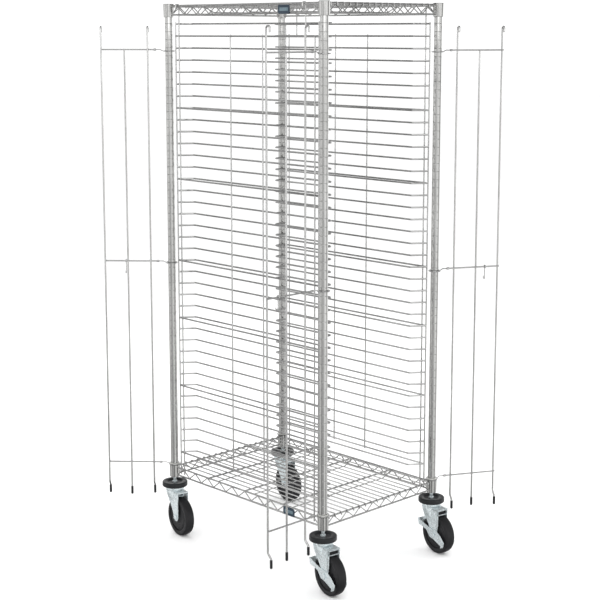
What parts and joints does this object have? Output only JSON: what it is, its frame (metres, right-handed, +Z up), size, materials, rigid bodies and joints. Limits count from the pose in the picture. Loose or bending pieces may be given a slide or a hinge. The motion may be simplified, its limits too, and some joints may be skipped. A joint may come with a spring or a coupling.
{
  "type": "sheet pan rack",
  "caption": "Tall wire rack on swivel casters, with wire ledges for full-size sheet pans and wire gates that lift and swing at its open ends.",
  "frame": {"origin": "centre of the whole bounding box on the floor, under the wheels", "axes": "+Z up along the posts, +X across the open ends, -Y towards the front open end"},
  "size_m": [0.9184, 0.9868, 1.753],
  "materials": {
    "chrome": "bright plated wire",
    "zinc": "bright zinc plate",
    "black_rubber": "satin black",
    "wheel_rubber": "satin black",
    "pale_plastic": "satin",
    "label": "gloss"
  },
  "bodies": {
    "rack": {"front_left_post": "chrome", "front_left_cap": "pale_plastic", "front_left_sleeve": "pale_plastic", "front_left_caster_stem": "zinc", "front_left_bumper": "black_rubber", "front_right_post": "chrome", "front_right_cap": "pale_plastic", "front_right_sleeve": "pale_plastic", "front_right_caster_stem": "zinc", "front_right_bumper": "black_rubber", "rear_left_post": "chrome", "rear_left_cap": "pale_plastic", "rear_left_sleeve": "pale_plastic", "rear_left_caster_stem": "zinc", "rear_left_bumper": "black_rubber", "rear_right_post": "chrome", "rear_right_cap": "pale_plastic", "rear_right_sleeve": "pale_plastic", "rear_right_caster_stem": "zinc", "rear_right_bumper": "black_rubber", "bottom_shelf": "chrome", "top_shelf": "chrome", "left_slides": "chrome", "right_slides": "chrome", "bottom_label": "label", "top_label": "label"},
    "front_left_loops": {"front_left_lower_loop": "chrome", "front_left_middle_loop": "chrome", "front_left_upper_loop": "chrome"},
    "front_left_gate": {"front_left_gate": "chrome"},
    "front_left_latch": {"front_left_latch_hook": "chrome"},
    "front_left_swivel": {"front_left_fork": "zinc", "front_left_axle": "zinc"},
    "front_left_wheel": {"front_left_wheel": "wheel_rubber"},
    "front_left_pedal": {"front_left_brake_pedal": "zinc"},
    "front_right_loops": {"front_right_lower_loop": "chrome", "front_right_middle_loop": "chrome", "front_right_upper_loop": "chrome"},
    "front_right_gate": {"front_right_gate": "chrome"},
    "front_right_latch": {"front_right_latch_hook": "chrome"},
    "front_right_swivel": {"front_right_fork": "zinc", "front_right_axle": "zinc"},
    "front_right_wheel": {"front_right_wheel": "wheel_rubber"},
    "front_right_pedal": {"front_right_brake_pedal": "zinc"},
    "rear_left_loops": {"rear_left_lower_loop": "chrome", "rear_left_middle_loop": "chrome", "rear_left_upper_loop": "chrome"},
    "rear_left_gate": {"rear_left_gate": "chrome"},
    "rear_left_latch": {"rear_left_latch_hook": "chrome"},
    "rear_left_swivel": {"rear_left_fork": "zinc", "rear_left_axle": "zinc"},
    "rear_left_wheel": {"rear_left_wheel": "wheel_rubber"},
    "rear_right_loops": {"rear_right_lower_loop": "chrome", "rear_right_middle_loop": "chrome", "rear_right_upper_loop": "chrome"},
    "rear_right_gate": {"rear_right_gate": "chrome"},
    "rear_right_latch": {"rear_right_latch_hook": "chrome"},
    "rear_right_swivel": {"rear_right_fork": "zinc", "rear_right_axle": "zinc"},
    "rear_right_wheel": {"rear_right_wheel": "wheel_rubber"}
  },
  "joints": [
    {"name": "front_left_gate_lift", "type": "slide", "parent": "rack", "child": "front_left_loops", "axis": [0, 0, 1], "range_m": [0, 0.08]},
    {"name": "front_left_gate_swing", "type": "hinge", "parent": "front_left_loops", "child": "front_left_gate", "pos_m": [-0.237, -0.37951, 0.923], "axis": [0, 0, -1], "range_deg": [-180, 60]},
    {"name": "front_left_latch_turn", "type": "hinge", "parent": "front_left_gate", "child": "front_left_latch", "pos_m": [-0.417, -0.37751, 0.923], "axis": [-1, 0, 0], "range_deg": [-60, 60]},
    {"name": "front_left_swivel", "type": "hinge", "parent": "rack", "child": "front_left_swivel", "pos_m": [-0.237, -0.37951, 0.15], "axis": [0, 0, 1], "continuous": true},
    {"name": "front_left_wheel_spin", "type": "hinge", "parent": "front_left_swivel", "child": "front_left_wheel", "pos_m": [-0.24294, -0.41704, 0.0635], "axis": [0.9877, -0.1564, 0], "continuous": true},
    {"name": "front_left_pedal_tip", "type": "hinge", "parent": "front_left_swivel", "child": "front_left_pedal", "pos_m": [-0.24294, -0.41704, 0.0635], "axis": [-0.9877, 0.1564, 0], "range_deg": [0, 8]},
    {"name": "front_right_gate_lift", "type": "slide", "parent": "rack", "child": "front_right_loops", "axis": [0, 0, 1], "range_m": [0, 0.08]},
    {"name": "front_right_gate_swing", "type": "hinge", "parent": "front_right_loops", "child": "front_right_gate", "pos_m": [0.259, -0.37951, 0.923], "axis": [0, 0, 1], "range_deg": [-152, 88]},
    {"name": "front_right_latch_turn", "type": "hinge", "parent": "front_right_gate", "child": "front_right_latch", "pos_m": [0.41181, -0.45849, 0.923], "axis": [0.8829, -0.4695, 0], "range_deg": [-60, 60]},
    {"name": "front_right_swivel", "type": "hinge", "parent": "rack", "child": "front_right_swivel", "pos_m": [0.259, -0.37951, 0.15], "axis": [0, 0, 1], "continuous": true},
    {"name": "front_right_wheel_spin", "type": "hinge", "parent": "front_right_swivel", "child": "front_right_wheel", "pos_m": [0.25306, -0.41704, 0.0635], "axis": [0.9877, -0.1564, 0], "continuous": true},
    {"name": "front_right_pedal_tip", "type": "hinge", "parent": "front_right_swivel", "child": "front_right_pedal", "pos_m": [0.25306, -0.41704, 0.0635], "axis": [-0.9877, 0.1564, 0], "range_deg": [0, 8]},
    {"name": "rear_left_gate_lift", "type": "slide", "parent": "rack", "child": "rear_left_loops", "axis": [0, 0, 1], "range_m": [0, 0.08]},
    {"name": "rear_left_gate_swing", "type": "hinge", "parent": "rear_left_loops", "child": "rear_left_gate", "pos_m": [-0.237, 0.32349, 0.923], "axis": [0, 0, 1], "range_deg": [-134, 106]},
    {"name": "rear_left_latch_turn", "type": "hinge", "parent": "rear_left_gate", "child": "rear_left_latch", "pos_m": [-0.34263, 0.43, 0.923], "axis": [-0.6947, 0.7193, 0], "range_deg": [-60, 60]},
    {"name": "rear_left_swivel", "type": "hinge", "parent": "rack", "child": "rear_left_swivel", "pos_m": [-0.237, 0.32349, 0.15], "axis": [0, 0, 1], "continuous": true},
    {"name": "rear_left_wheel_spin", "type": "hinge", "parent": "rear_left_swivel", "child": "rear_left_wheel", "pos_m": [-0.24294, 0.28596, 0.0635], "axis": [0.9877, -0.1564, 0], "continuous": true},
    {"name": "rear_right_gate_lift", "type": "slide", "parent": "rack", "child": "rear_right_loops", "axis": [0, 0, 1], "range_m": [0, 0.08]},
    {"name": "rear_right_gate_swing", "type": "hinge", "parent": "rear_right_loops", "child": "rear_right_gate", "pos_m": [0.259, 0.32349, 0.923], "axis": [0, 0, -1], "range_deg": [-133, 107]},
    {"name": "rear_right_latch_turn", "type": "hinge", "parent": "rear_right_gate", "child": "rear_right_latch", "pos_m": [0.37777, 0.44792, 0.923], "axis": [0.682, 0.7314, 0], "range_deg": [-60, 60]},
    {"name": "rear_right_swivel", "type": "hinge", "parent": "rack", "child": "rear_right_swivel", "pos_m": [0.259, 0.32349, 0.15], "axis": [0, 0, 1], "continuous": true},
    {"name": "rear_right_wheel_spin", "type": "hinge", "parent": "rear_right_swivel", "child": "rear_right_wheel", "pos_m": [0.25306, 0.28596, 0.0635], "axis": [0.9877, -0.1564, 0], "continuous": true}
  ]
}
